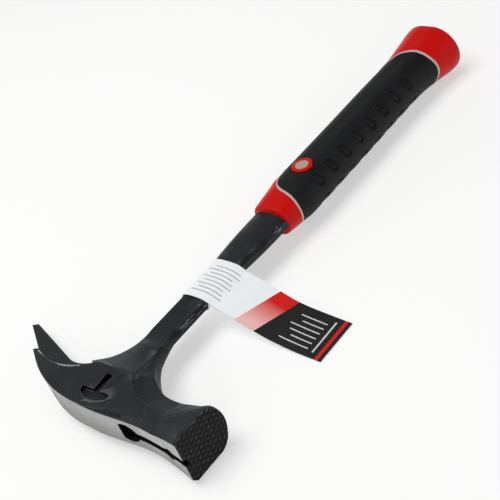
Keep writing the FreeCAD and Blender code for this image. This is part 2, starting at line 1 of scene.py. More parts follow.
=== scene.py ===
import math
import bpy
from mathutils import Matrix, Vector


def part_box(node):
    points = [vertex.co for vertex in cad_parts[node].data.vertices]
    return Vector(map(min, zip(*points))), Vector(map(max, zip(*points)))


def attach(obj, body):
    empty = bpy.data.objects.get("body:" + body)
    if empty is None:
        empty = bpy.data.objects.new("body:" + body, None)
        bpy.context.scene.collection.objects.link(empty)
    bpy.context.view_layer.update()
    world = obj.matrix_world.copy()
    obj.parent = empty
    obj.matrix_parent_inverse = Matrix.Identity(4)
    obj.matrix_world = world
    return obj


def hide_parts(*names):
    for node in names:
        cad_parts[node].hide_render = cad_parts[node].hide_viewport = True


bl_info = {
    "name": "Roofing Hammer",
    "version": (1, 0, 0),
    "blender": (4, 5, 0),
    "location": "3D View > Sidebar > Hammer",
    "description": "Dresses a forged roofing hammer with its finishes, grip, paper label and studio",
    "category": "Add Mesh",
}

import bmesh
import bpy
from bpy.props import FloatProperty, FloatVectorProperty, IntProperty, PointerProperty
from mathutils import Matrix, Vector

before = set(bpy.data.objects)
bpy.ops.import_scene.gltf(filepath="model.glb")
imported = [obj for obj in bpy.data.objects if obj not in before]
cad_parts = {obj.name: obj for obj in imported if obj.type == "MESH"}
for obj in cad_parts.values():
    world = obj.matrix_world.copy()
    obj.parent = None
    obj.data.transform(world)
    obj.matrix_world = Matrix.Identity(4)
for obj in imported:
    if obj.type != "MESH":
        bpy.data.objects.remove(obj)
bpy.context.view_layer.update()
BODY = "root"
MM = 0.001

# Kinds of node that are used most. A RANGE takes a value, the start and end of its range, and
# what they become.
MATH, VECTOR, MIX = "ShaderNodeMath", "ShaderNodeVectorMath", "ShaderNodeMix"
NOISE, RANGE, STOPS = "ShaderNodeTexNoise", "ShaderNodeMapRange", "ShaderNodeValToRGB"
BUMP, SHADER, BEVEL = "ShaderNodeBump", "ShaderNodeBsdfPrincipled", "ShaderNodeBevel"
AXES, MAPPING = "ShaderNodeSeparateXYZ", "ShaderNodeMapping"

# The model's own origin is where the shaft's centreline crosses the head. The lock pin's box
# gives where that point lies in the frame. The sizes below are in millimetres about it.
PIN_REACH = 171.5
pin_low, pin_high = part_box("lock_pin")
ORIGIN = (Vector(pin_low) + Vector(pin_high)) / 2 - Vector((PIN_REACH * MM, 0, 0))

# Forging: the milled face with the depth of its grooves, and the ground back's line as (place
# across the handle, place along it), which at the claw goes on as an arc and then as a slope
FACE_REACH = 68.7
FACE_DEPTH = 0.86
BACK_LINE = ((-68.7, -14.0), (-48.5, -11.2), (-48.5, -10.8), (-43.3, -10.8), (3.7, -11.8))
CLAW_RADIUS = 85.0
CLAW_ARC_END = 49.0
CLAW_SLOPE = math.radians(32.2)
BACK_MARGIN = 0.9
# boxes round the nail holder and the T slot, by low and high corner; the holder's faces and the slot's walls
# take painted shade
HOLDER = ((-20.0, -68.0, -5.8), (-3.0, -23.3, 5.8))
SLOT = ((-8.0, -12.0, 7.0), (9.0, 7.6, 10.0))
# finishes in the order of the forging's materials; the third is painted shade for the recesses
PAINT, GROUND, RECESS_SHADE, MILLED = range(4)
# hollows where faces of the die meet beside the neck, the face and the back, darkened with painted shade
HOLLOWS = (((36.5, -8.9), (24.0, -11.6), (12.3, -15.7), (7.6, -20.0), (2.9, -26.4)),
           ((37.1, -9.7), (30.9, -11.8), (25.0, -15.2), (17.0, -21.5), (12.1, -31.6)),
           ((-2.0, -48.2), (1.5, -56.1), (7.5, -60.9)),
           ((-11.6, -11.0), (-10.6, -18.0), (-8.9, -25.6)))
# inner edge of the tines, lightened as wear and as a painted highlight
TINE_EDGE = ((7.4, 54.0), (5.9, 47.2), (4.4, 39.2), (3.7, 31.4), (4.0, 28.0), (4.9, 24.5), (7.0, 19.6))

# Grip: its section is an obround with side centres SIDE_OFFSET from the middle. A ridge is (place
# along the handle, half depth of the section), and a line is (side reach, place along the
# handle) of one end of the sleeve.
SIDE_OFFSET = 3.0
PALM_DEPTH = 11.7
SIDE_REACH = 16.0
GRIP_START = 137.4
GRIP_END = 304.0
COLLAR_RIDGE = ((137.4, 8.3), (137.8, 9.1), (139.2, 9.4), (153.0, 11.0), (159.0, 11.7), (180.0, 11.7))
SLEEVE_RIDGE = ((145.0, 9.9), (153.0, 11.1), (160.0, 11.7), (262.0, 11.7), (270.0, 11.85), (276.0, 12.3),
                (283.0, 13.1), (288.0, 13.8))
BUTT_RIDGE = ((262.0, 11.7), (270.0, 11.85), (276.0, 12.3), (283.0, 13.1), (292.0, 14.3), (300.5, 15.4),
              (303.0, 15.45), (303.8, 15.0), (304.0, 14.2))
# the grip leans a little to the claw's side towards the butt
GRIP_LEAN = ((137.0, 0.0), (160.0, 0.0), (215.0, 0.35), (250.0, 0.8), (275.0, 0.7), (290.0, 0.35),
             (304.0, 0.0))
FRONT_LINE = ((-15.0, 148.3), (-11.0, 149.3), (-4.0, 150.7), (1.5, 152.4), (5.2, 155.1), (10.4, 168.2),
              (15.0, 176.0))
REAR_LINE = ((-16.0, 284.6), (-14.3, 283.0), (-11.9, 281.9), (-8.5, 281.3), (-4.3, 280.7), (0.0, 279.7),
             (3.0, 278.1), (5.3, 275.4), (8.4, 271.0), (10.6, 267.2), (16.0, 259.0))
# widths of the pale rings, and how far the red mouldings stop inside them
FRONT_RING = 1.4
REAR_RING = 1.6
RING_LAP = 0.6
RING_CROWN = 0.16
# rise of a line that stands for a flat end, because a curve needs one
FLAT_RISE = 0.001
# shares of the way round that each quarter turn and each flat of the section take
QUARTER = 0.215
FLAT = 0.07
# finger pads: place of the first, each row's turn from the narrow side, slant, corner as a share
# of the width, and how far the pad is sunk, as a share of the groove
FIRST_PAD = 168.5
PAD_ROW = math.radians(37)
PAD_SLANT = 0.12
PAD_CORNER = 0.36
PAD_SINK = 0.25
# radii of the bezel's seat, at its edge and its floor
SEAT_EDGE = 6.9
SEAT_FLOOR = 6.2
# a skin without pads has a groove depth of zero, and these sizes keep its sums clear of zero
NO_PADS = {"Groove_Width": MM, "Pad_Width": MM, "Pad_Length": MM, "Pad_Pitch": 1.0}

# Paper path round the shaft, from the flag's free end over the top and back below: (y, z,
# share of the shaft's widening). The flag's lower layer runs back along its first points.
PAPER_TOP = ((-77.8, -14.7, 0), (-67.0, -14.0, 0), (-56.0, -12.9, 0), (-45.0, -10.9, 0), (-38.0, -8.6, 0),
             (-31.0, -5.7, 0), (-24.0, -2.9, 0), (-17.5, -0.7, 0), (-13.0, 0.8, 0.5), (-9.6, 2.7, 1),
             (-6.6, 4.0, 1), (-2.5, 4.5, 1), (3.0, 4.4, 1), (7.0, 3.3, 1), (9.2, 1.2, 1), (9.5, -0.9, 1),
             (8.2, -2.9, 1), (5.0, -4.2, 1), (0.0, -4.6, 1), (-4.8, -4.4, 1), (-7.3, -3.0, 1),
             (-9.05, -1.2, 1), (-9.2, 0.1, 1), (-10.0, 1.25, 0.8), (-11.9, 0.95, 0.5))
FLAG_POINTS = 9
LAYER_GAP = 0.32
PAPER_START = 71.2
PAPER_WIDTH = 27.7
PAPER_COLUMNS = 24
PATH_STEPS = 6
# how far the wrap spreads over the widening shaft, and the shaft's reach to each side
WRAP_SPREAD = 1.2
SHAFT_REACH = 8
# the flag turns a little towards the head from the place where it leaves the shaft
FLAG_TURN = 0.020
FLAG_START = 12
# waves of the flag, as (start, length) of their rise and of their fall at the free end
WAVE_HEIGHT = 0.25
WAVE_RISE = (14, 30)
WAVE_FALL = (-74, 20)

# Camera at the photograph's place and angle
CAMERA_PLACE = (-191.06, -414.47, 369.13)
CAMERA_LOOK = Vector((0.48305, 0.65158, -0.58490)).normalized()
CAMERA_UP = Vector((0.64030, 0.19278, 0.74354)).normalized()
CAMERA_LENS = 86.4


def place(x, y, z):
    """Point in the frame, in metres, from millimetres about the model's own origin."""
    return ORIGIN + Vector((x, y, z)) * MM


def linear(hex_colour):
    """sRGB hex value as linear RGBA."""
    value = hex_colour.lstrip("#")
    channels = [int(value[i:i + 2], 16) / 255 for i in (0, 2, 4)]
    return tuple(c / 12.92 if c <= 0.04045 else ((c + 0.055) / 1.055) ** 2.4 for c in channels) + (1.0,)


def colour_property(name, description, hex_colour):
    return FloatVectorProperty(name=name, description=description, subtype="COLOR", size=4,
                               min=0, max=1, default=linear(hex_colour))


def length_property(name, description, millimetres):
    return FloatProperty(name=name, description=description, unit="LENGTH", min=0,
                         default=millimetres * MM)


# Settings

class SteelSettings(bpy.types.PropertyGroup):
    """Finishes and edges of the forging"""
    paint: colour_property("Paint", "Satin black enamel of the forging", "#14171c")
    # painted shade: the near-black colour of the slot, the nail holder and the face's grooves
    recess_shade: colour_property("Recess", "Enamel in the slot, the nail holder and the face's grooves", "#060607")
    milled_point: colour_property("Milled point", "Rubbed points of the milled face", "#3c3e40")
    # lightens the edges as wear and as a painted highlight
    worn_paint_and_highlight: colour_property("Worn paint", "Enamel rubbed thin along the edges", "#5a5c5f")
    # also paints a highlight along the tines' inner edge
    scratch_and_tine_highlight: colour_property("Scratch", "Bright marks of handling", "#9a9c9e")
    ground: colour_property("Ground steel", "Steel of the back, ground bright", "#b2b2b1")
    # darker end of the ground steel: painted shade towards the table side, and darker towards the claw
    ground_in_shade: colour_property("Dull ground steel", "Ground steel where the belt took less", "#5f5e5c")
    edge_radius: length_property("Edge radius", "Softness of the forged edges", 0.7)
    crease_angle: FloatProperty(name="Crease angle", description="Edges sharper than this stay creased",
                                default=math.radians(24), subtype="ANGLE")


class GripSettings(bpy.types.PropertyGroup):
    """Colours of the grip and sizes of its sleeve"""
    rubber: colour_property("Rubber", "Soft black sleeve", "#101113")
    plastic: colour_property("Plastic", "Red core of the grip", "#c80b07")
    trim: colour_property("Trim", "Pale rings beside the sleeve", "#bdb0ad")
    pin: colour_property("Pin", "Faced steel lock pin", "#d0bda9")
    groove_depth: length_property("Groove depth", "Depth of the groove round each finger pad", 0.95)
    groove_width: length_property("Groove width", "Width of the groove round each finger pad", 1.4)
    pad_width: length_property("Pad width", "Size of a finger pad along the handle", 4.6)
    pad_length: length_property("Pad length", "Size of a finger pad round the grip", 7.6)
    pad_pitch: length_property("Pad pitch", "Distance from pad to pad", 12.8)
    pad_count: IntProperty(name="Finger pads", description="Pads in each row", default=8, min=1)
    wall: length_property("Sleeve wall", "Thickness of the moulded sleeve", 2.0)


class LabelSettings(bpy.types.PropertyGroup):
    """Paper and inks of the label"""
    paper: colour_property("Paper", "Coated white paper", "#eef1f4")
    red: colour_property("Red ink", "Red panel and bar", "#d01512")
    black: colour_property("Black ink", "Dark panel", "#1b1919")
    thickness: length_property("Thickness", "Thickness of the glued paper", 0.3)


class StudioSettings(bpy.types.PropertyGroup):
    """Floor and light"""
    floor: colour_property("Floor", "Seamless pale floor", "#fcfcfb")
    key_power: FloatProperty(name="Key power", description="Power of the large soft key light",
                             default=13.3, min=0, unit="POWER")
    fill_power: FloatProperty(name="Fill power", description="Power of the low fill light",
                              default=1.6, min=0, unit="POWER")
    sky: FloatProperty(name="Ceiling", description="Strength of the white surround overhead",
                       default=0.25, min=0)


class HammerSettings(bpy.types.PropertyGroup):
    """All settings of the hammer"""
    steel: PointerProperty(type=SteelSettings, name="Steel", description="Finishes and edges of the forging")
    grip: PointerProperty(type=GripSettings, name="Grip", description="Colours and sizes of the grip")
    label: PointerProperty(type=LabelSettings, name="Label", description="Paper and inks of the label")
    studio: PointerProperty(type=StudioSettings, name="Studio", description="Floor and light")


# Small helpers

def settings():
    return bpy.context.scene.hammer


def add(tree, kind, *inputs, stops=(), knots=(), **named):
    """Adds a node. Inputs are values, sockets, or nodes that give their first output in use. A name
    in small letters is one of the node's own settings, and any other is an input. Stops are
    (place, colour) of a colour ramp, and knots are (x, y, handle) of a curve."""
    node = tree.nodes.new(kind)
    given = dict(enumerate(inputs))
    for name, value in named.items():
        if name.islower():
            setattr(node, name, value)
        else:
            given[name] = value
    sockets = {socket.identifier: socket for socket in node.inputs}
    for name, value in given.items():
        socket = node.inputs[name] if isinstance(name, int) else (
            sockets.get(name) or node.inputs[name.replace("_", " ")])
        if isinstance(value, bpy.types.Node):
            value = next(output for output in value.outputs if output.enabled)
        if isinstance(value, bpy.types.NodeSocket):
            tree.links.new(value, socket)
        else:
            socket.default_value = value
    for i, (along, colour) in enumerate(stops):
        element = node.color_ramp.elements[i]
        element.position, element.color = along, colour
    if knots:
        points = node.mapping.curves[0].points
        while len(points) < len(knots):
            points.new(0.5, 0.5)
        for point, (x, y, handle) in zip(points, knots):
            point.location, point.handle_type = (x, y), handle
        node.mapping.update()
    return node


def new_material(name):
    material = bpy.data.materials.new(name)
    material.use_nodes = True
    material.node_tree.nodes.clear()
    return material, material.node_tree


def new_finish(name):
    """Empty material with its tree and its Object coordinates."""
    material, tree = new_material(name)
    return material, tree, add(tree, "ShaderNodeTexCoord").outputs["Object"]


def finished(material, shader):
    """The material with its shader."""
    add(material.node_tree, "ShaderNodeOutputMaterial", shader)
    return material


def per(size):
    """Scale of a pattern whose marks have a size in millimetres."""
    return 1 / (size * MM)


def shaded(colour, share):
    """Colour made darker or lighter by a share."""
    return tuple(min(channel * share, 1) for channel in colour[:3]) + (1,)


def new_object(name, data):
    thing = bpy.data.objects.new(name, data)
    bpy.context.scene.collection.objects.link(thing)
    return thing


def mesh_from(name, points, faces):
    mesh = bpy.data.meshes.new(name)
    mesh.from_pydata(points, [], faces)
    mesh.validate()
    return mesh


def smooth_mesh(body, mesh, degrees):
    """Writes a body to a mesh with its normals outward, smooth except along sharp edges."""
    bmesh.ops.recalc_face_normals(body, faces=body.faces)
    body.to_mesh(mesh)
    body.free()
    mesh.shade_smooth()
    mesh.set_sharp_from_angle(angle=math.radians(degrees))


def settle(thing, node, slot, *materials):
    """Gives a piece its materials and its body, and hides the CAD node that it stands for. The slot is not
    used.
    """
    thing.data.materials.clear()
    for material in materials:
        thing.data.materials.append(material)
    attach(thing, BODY)
    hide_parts(node)


def inside(point, box):
    """True for a point between the low and the high corner of a box."""
    return all(low < value < high for low, value, high in zip(box[0], point, box[1]))


def ramp(value, start, length):
    """Rises from 0 to 1 over a length from its start."""
    return min(max(value - start, 0) / length, 1)


def merged_copy(node, name, crease):
    """A copy of a CAD node with its loose triangles joined, smooth except along real edges."""
    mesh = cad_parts[node].data.copy()
    mesh.name = name
    body = bmesh.new()
    body.from_mesh(mesh)
    bmesh.ops.remove_doubles(body, verts=body.verts, dist=2e-6)
    bmesh.ops.dissolve_limit(body, angle_limit=math.radians(0.4), verts=body.verts, edges=body.edges)
    body.to_mesh(mesh)
    body.free()
    mesh.shade_smooth()
    mesh.set_sharp_from_angle(angle=crease)
    return new_object(name, mesh)


# Materials

def away_from(tree, spot, line):
    """Distance of a place from a line of points on the hammer's mid-plane, seen along Z."""
    level = add(tree, MAPPING, spot, Scale=(1, 1, 0))
    nearest = None
    for (ax, ay), (bx, by) in zip(line, line[1:]):
        start, run = place(ax, ay, 0), Vector((bx - ax, by - ay, 0)) * MM
        start.z = 0
        away = add(tree, VECTOR, level, start, operation="SUBTRACT")
        share = add(tree, VECTOR, away, run / run.length_squared, operation="DOT_PRODUCT")
        beside = add(tree, VECTOR, run, Scale=add(tree, "ShaderNodeClamp", share), operation="SCALE")
        distance = add(tree, VECTOR, away, beside, operation="DISTANCE")
        nearest = add(tree, MATH, nearest, distance, operation="MINIMUM") if nearest else distance
    return nearest


def black_paint():
    """Satin black enamel sprayed on forged steel: the scale below shows as a fine unevenness, dust
    and handling make it cloudy, its edges are rubbed grey as wear and lightened as a painted
    highlight, and its hollows are darkened with painted shade."""
    steel = settings().steel
    dark = steel.paint
    material, tree, spot = new_finish("black_paint")
    # forging scale is about 0.5 mm, drawn at 0.7 mm so that it shows
    scale_grain = add(tree, NOISE, spot, Scale=per(0.7), Detail=3.0)
    cloud = add(tree, NOISE, spot, Scale=per(10.5), Detail=4.0)
    paint = add(tree, MIX, Factor_Float=cloud, A_Color=shaded(dark, 0.6), B_Color=shaded(dark, 1.5),
                data_type="RGBA")

    # scratches along the handle, about 10 mm by 0.5 mm, most of them on the shaft's lower bevel
    stretched = add(tree, MAPPING, spot, Scale=(per(6.7), per(0.6), per(0.6)))
    streak = add(tree, NOISE, stretched, Detail=2.0, Roughness=0.6, Distortion=0.5, Scale=1.0)
    flat = add(tree, "ShaderNodeNewGeometry").outputs["True Normal"]
    facing = add(tree, VECTOR, flat, (0, -0.72, 0.69), operation="DOT_PRODUCT")
    bevelled = add(tree, RANGE, facing, 0.93, 0.98, 0.0, 0.12)
    streak = add(tree, MATH, streak, bevelled, operation="ADD")
    scratches = add(tree, RANGE, streak, 0.69, 0.78)
    patch = add(tree, RANGE, cloud, 0.42, 0.62)
    scratched = add(tree, MATH, scratches, patch, operation="MULTIPLY")

    # edges lightened where the rounded normal leaves the flat one, and along the tines' inner edge: partly
    # wear, partly painted highlight
    soft = add(tree, BEVEL, samples=8, Radius=steel.edge_radius)
    turn = add(tree, VECTOR, soft, flat, operation="DOT_PRODUCT")
    edge = add(tree, RANGE, turn, 0.985, 0.9)
    patchy = add(tree, RANGE, cloud, 0.35, 0.6, 0.15, 1.0)
    rubbed = add(tree, MATH, edge, patchy, operation="MULTIPLY")
    beside_tine = away_from(tree, spot, TINE_EDGE)
    wander = add(tree, MATH, scale_grain, 0.9 * MM, beside_tine, operation="MULTIPLY_ADD")
    tine_wear_and_highlight = add(tree, RANGE, wander, 1.0 * MM, 0.6 * MM)
    bright = add(tree, MATH, tine_wear_and_highlight, scratched, operation="MAXIMUM")

    # hollows of the forging, darkened with painted shade
    hollow = None
    for line in HOLLOWS:
        near = away_from(tree, spot, line)
        hollow = add(tree, MATH, hollow, near, operation="MINIMUM") if hollow else near
    painted_hollow_shade = add(tree, RANGE, hollow, 1.1 * MM, 0.2 * MM)
    painted_hollow_shade = add(tree, MATH, painted_hollow_shade, 0.95, operation="MULTIPLY")
    for share, layer in ((rubbed, steel.worn_paint_and_highlight), (bright, steel.scratch_and_tine_highlight), (painted_hollow_shade, shaded(dark, 0.2))):
        paint = add(tree, MIX, Factor_Float=share, A_Color=paint, B_Color=layer, data_type="RGBA")
    sunk = add(tree, RANGE, hollow, 0.0, 1.3 * MM, interpolation_type="SMOOTHSTEP")
    dip = add(tree, BUMP, Strength=0.8, Distance=0.7 * MM, Height=sunk, Normal=soft)
    bump = add(tree, BUMP, Strength=0.25, Distance=0.06 * MM, Height=scale_grain, Normal=dip)
    rough = add(tree, RANGE, cloud, 0, 1, 0.38, 0.56)
    shader = add(tree, SHADER, IOR=1.45, Specular_IOR_Level=0.3, Base_Color=paint,
                 Roughness=rough, Normal=bump)
    return finished(material, shader)


def painted_recess_shade():
    """The same enamel, darkened to near black in the nail holder and on the slot's walls as painted shade."""
    material, tree, spot = new_finish("painted_shade_recess")
    cloud = add(tree, NOISE, spot, Scale=per(3.8), Detail=3.0)
    dark = settings().steel.recess_shade
    paint = add(tree, MIX, Factor_Float=cloud, A_Color=shaded(dark, 0.6), B_Color=shaded(dark, 1.6),
                data_type="RGBA")
    bump = add(tree, BUMP, Strength=0.2, Distance=0.06 * MM, Height=cloud)
    shader = add(tree, SHADER, IOR=1.45, Specular_IOR_Level=0.15, Roughness=0.5, Base_Color=paint,
                 Normal=bump)
    return finished(material, shader)


def milled_face():
    """Milled steel blacked after cutting: the grooves are darkened to near black as painted shade,
    and the points are rubbed grey.
    """
    steel = settings().steel
    material, tree, spot = new_finish("milled_face")
    reach = add(tree, AXES, spot).outputs["Y"]
    top = place(0, -FACE_REACH, 0).y
    height = add(tree, RANGE, reach, top + 0.5 * MM, top + 0.05 * MM)
    # rubbed in patches of about 3 mm
    grain = add(tree, NOISE, spot, Scale=per(3.0), Detail=3.0)
    rub = add(tree, RANGE, grain, 0.4, 0.65, 0.25, 1.0)
    share = add(tree, MATH, height, rub, operation="MULTIPLY")
    # the grooves take the painted shade colour and the rubbed points the grey
    tone = add(tree, MIX, Factor_Float=share, A_Color=steel.recess_shade, B_Color=steel.milled_point,
               data_type="RGBA")
    soft = add(tree, BEVEL, samples=6, Radius=0.2 * MM)
    bump = add(tree, BUMP, Strength=0.2, Distance=0.05 * MM, Height=grain, Normal=soft)
    shader = add(tree, SHADER, IOR=1.45, Specular_IOR_Level=0.2, Roughness=0.45, Base_Color=tone,
                 Normal=bump)
    return finished(material, shader)


def ground_steel():
    """Carbon steel ground bright on a belt: fine lines across the back, 0.4 mm apart, darker
    towards the table side as painted shade, and darker towards the claw."""
    steel = settings().steel
    material, tree, spot = new_finish("ground_steel")
    stretched = add(tree, MAPPING, spot, Scale=(per(8.3), per(0.4), per(8.3)))
    lines = add(tree, NOISE, stretched, Detail=3.0, Scale=1.0)
    cloud = add(tree, NOISE, spot, Scale=per(16.7), Detail=3.0)
    axes = add(tree, AXES, spot)
    # darker towards the table side: painted shade
    across = add(tree, RANGE, axes.outputs["Z"], 6 * MM, 20 * MM, 0.0, 0.6)
    # darker towards the claw
    claw, face = place(0, 34, 0).y, place(0, -56, 0).y
    along = add(tree, RANGE, axes.outputs["Y"], claw, face, 0.0, 0.45)
    # share of the bright colour: painted shade by height, the darkening towards the claw and a random drift
    clear = add(tree, MATH, across, along, operation="ADD")
    drift = add(tree, RANGE, cloud, 0, 1, -0.25, 0.25)
    clear = add(tree, MATH, clear, drift, operation="ADD", use_clamp=True)
    tone = add(tree, MIX, Factor_Float=clear, A_Color=steel.ground_in_shade, B_Color=steel.ground,
               data_type="RGBA")
    rough = add(tree, RANGE, lines, 0, 1, 0.34, 0.5)
    soft = add(tree, BEVEL, samples=4, Radius=steel.edge_radius)
    bump = add(tree, BUMP, Strength=0.15, Distance=0.02 * MM, Height=lines, Normal=soft)
    shader = add(tree, SHADER, Metallic=0.85, Base_Color=tone, Roughness=rough, Normal=bump)
    return finished(material, shader)


def plated_magnet():
    """Dark nickel plate on a pressed magnet: a dull grey with a fine cast grain."""
    material, tree, spot = new_finish("plated_magnet")
    grain = add(tree, NOISE, spot, Scale=per(1.1), Detail=2.0)
    tone = add(tree, STOPS, grain, stops=((0.3, linear("#222326")), (0.7, linear("#3b3c40"))))
    shader = add(tree, SHADER, Metallic=0.7, Roughness=0.42, Base_Color=tone)
    return finished(material, shader)


def moulded_plastic(name, colour, roughness, depth):
    """Polypropylene from a spark-eroded mould: an even satin with a slight waviness."""
    material, tree, spot = new_finish(name)
    cloud = add(tree, NOISE, spot, Scale=per(14.3), Detail=3.0)
    # the mould's texture is about 0.3 mm, drawn at 0.4 mm so that it shows
    grain = add(tree, NOISE, spot, Scale=per(0.4), Detail=2.0)
    tone = add(tree, STOPS, cloud, stops=((0.3, shaded(colour, 0.88)), (0.7, colour)))
    rough = add(tree, RANGE, cloud, 0, 1, roughness - 0.05, roughness + 0.07)
    bump = add(tree, BUMP, Strength=0.1, Distance=depth, Height=grain)
    shader = add(tree, SHADER, IOR=1.49, Specular_IOR_Level=0.13, Base_Color=tone,
                 Roughness=rough, Normal=bump)
    return finished(material, shader)


def red_plastic():
    """The grip's red, made once for its core and its bezels."""
    made = bpy.data.materials.get("moulded_red")
    return made or moulded_plastic("moulded_red", settings().grip.plastic, 0.36, 0.03 * MM)


def soft_rubber():
    """Thermoplastic rubber moulded over the core: matt, with a fine leathery grain and some dust,
    and darkened with painted shade in the grooves round the finger pads."""
    grip = settings().grip
    material, tree, spot = new_finish("soft_rubber")
    cloud = add(tree, NOISE, spot, Scale=per(23.8), Detail=4.0)
    grain = add(tree, "ShaderNodeTexVoronoi", spot, Scale=per(0.6))
    tone = add(tree, STOPS, cloud, stops=((0.32, shaded(grip.rubber, 0.7)), (0.7, shaded(grip.rubber, 1.5))))
    # the grooves round the finger pads are darkened with painted shade
    groove = add(tree, "ShaderNodeAttribute", attribute_name="groove").outputs["Fac"]
    painted_hollow_shade = add(tree, RANGE, groove, 0.15, 0.75, 0.0, 0.9)
    tone = add(tree, MIX, Factor_Float=painted_hollow_shade, A_Color=tone, B_Color=shaded(grip.rubber, 0.15),
               data_type="RGBA")
    rough = add(tree, RANGE, cloud, 0, 1, 0.48, 0.64)
    bump = add(tree, BUMP, Strength=0.16, Distance=0.06 * MM, Height=grain)
    shader = add(tree, SHADER, IOR=1.49, Specular_IOR_Level=0.18, Base_Color=tone,
                 Roughness=rough, Normal=bump)
    return finished(material, shader)


def faced_steel():
    """Steel pin faced on a lathe: rings round the pin's own axis, half a millimetre apart."""
    grip = settings().grip
    material, tree, spot = new_finish("faced_steel")
    centre = place(PIN_REACH, 0, 0)
    centred = add(tree, MAPPING, spot, Location=(-centre.x, -centre.y, 0), Scale=(1, 1, 0))
    distance = add(tree, VECTOR, centred, operation="LENGTH")
    rings = add(tree, NOISE, W=distance, noise_dimensions="1D", Scale=per(0.5), Detail=2.0)
    tone = add(tree, STOPS, rings, stops=((0.3, shaded(grip.pin, 0.8)), (0.7, grip.pin)))
    shader = add(tree, SHADER, Metallic=0.55, Roughness=0.4, Base_Color=tone)
    return finished(material, shader)


def printed_paper():
    """Coated label stock printed by offset: flat ink panels and fine rules on a bluish white."""
    label = settings().label
    material, tree, spot = new_finish("printed_paper")
    chart = add(tree, AXES, add(tree, "ShaderNodeUVMap", uv_map="print"))
    # the map holds decimetres: along from the flag's free end, and across from its head side
    along, across = chart.outputs["X"], chart.outputs["Y"]

    # the panels' edges slant across the flag, and the red one fades towards the head
    slant, red_end, dark_end = 0.31, 0.535, 0.415
    slanted = add(tree, MATH, across, slant, along, operation="MULTIPLY_ADD")
    red_zone = add(tree, MATH, slanted, red_end, operation="LESS_THAN")
    dark_zone = add(tree, MATH, slanted, dark_end, operation="LESS_THAN")
    fade = add(tree, RANGE, across, 0.04, 0.2)
    red = add(tree, MIX, Factor_Float=fade, A_Color=linear("#eeb9b4"), B_Color=label.red,
              data_type="RGBA")
    tone = label.paper
    for zone, ink in ((red_zone, red), (dark_zone, label.black)):
        tone = add(tree, MIX, Factor_Float=zone, A_Color=tone, B_Color=ink, data_type="RGBA")
    # generic print in millimetres, from and to along, from and to across: a red bar that stops
    # short of the paper's edge, a pale bar and pale rules on the dark panel, and fine grey rules on
    # the wrap
    pale, grey = linear("#c9cacd"), linear("#8f9398")
    blocks = [(2.0, 4.0, 0.01, 28.0, label.red), (7.0, 8.0, 3.5, 24.8, pale)]
    blocks += [(11.0, (29.0, 24.0, 27.0)[i % 3], 4.2 + 3.4 * i, 4.9 + 3.4 * i, pale) for i in range(6)]
    blocks += [(66.0 + (i % 3) * 1.6, 86.0 - (i % 2) * 3.0, 4.6 + 2.6 * i, 5.1 + 2.6 * i, grey)
               for i in range(8)]
    for low_along, high_along, low_across, high_across, ink in blocks:
        zones = [add(tree, MATH, reach, (low + high) / 200, (high - low) / 200, operation="COMPARE")
                 for reach, low, high in ((along, low_along, high_along), (across, low_across, high_across))]
        block = add(tree, MATH, *zones, operation="MULTIPLY")
        tone = add(tree, MIX, Factor_Float=block, A_Color=tone, B_Color=ink, data_type="RGBA")
    fibre = add(tree, NOISE, spot, Scale=per(2.4), Detail=4.0)
    shade = add(tree, RANGE, fibre, 0, 1, 0.96, 1.03)
    tone = add(tree, MIX, Factor_Float=1.0, A_Color=tone, B_Color=shade, data_type="RGBA",
               blend_type="MULTIPLY")
    bump = add(tree, BUMP, Strength=0.08, Distance=0.04 * MM, Height=fibre)
    shader = add(tree, SHADER, Roughness=0.42, IOR=1.45, Specular_IOR_Level=0.3,
                 Base_Color=tone, Normal=bump)
    return finished(material, shader)


# Skins of the grip

def scaled(points):
    return [tuple(value * MM for value in point) for point in points]


def shifted(line, distance):
    """A line across the grip, moved along the handle."""
    return [(side, along + distance) for side, along in line]


def through(tree, source, points, handle="AUTO_CLAMPED"):
    """Value that follows a curve through points of (source, value)."""
    low, high = min(p[1] for p in points), max(p[1] for p in points)
    start, end = points[0][0], points[-1][0]
    share = add(tree, RANGE, source, start, end)
    curve = add(tree, "ShaderNodeFloatCurve", Value=share, knots=[
        ((x - start) / (end - start), (y - low) / (high - low), handle) for x, y in points])
    return add(tree, RANGE, curve, 0, 1, low, high)


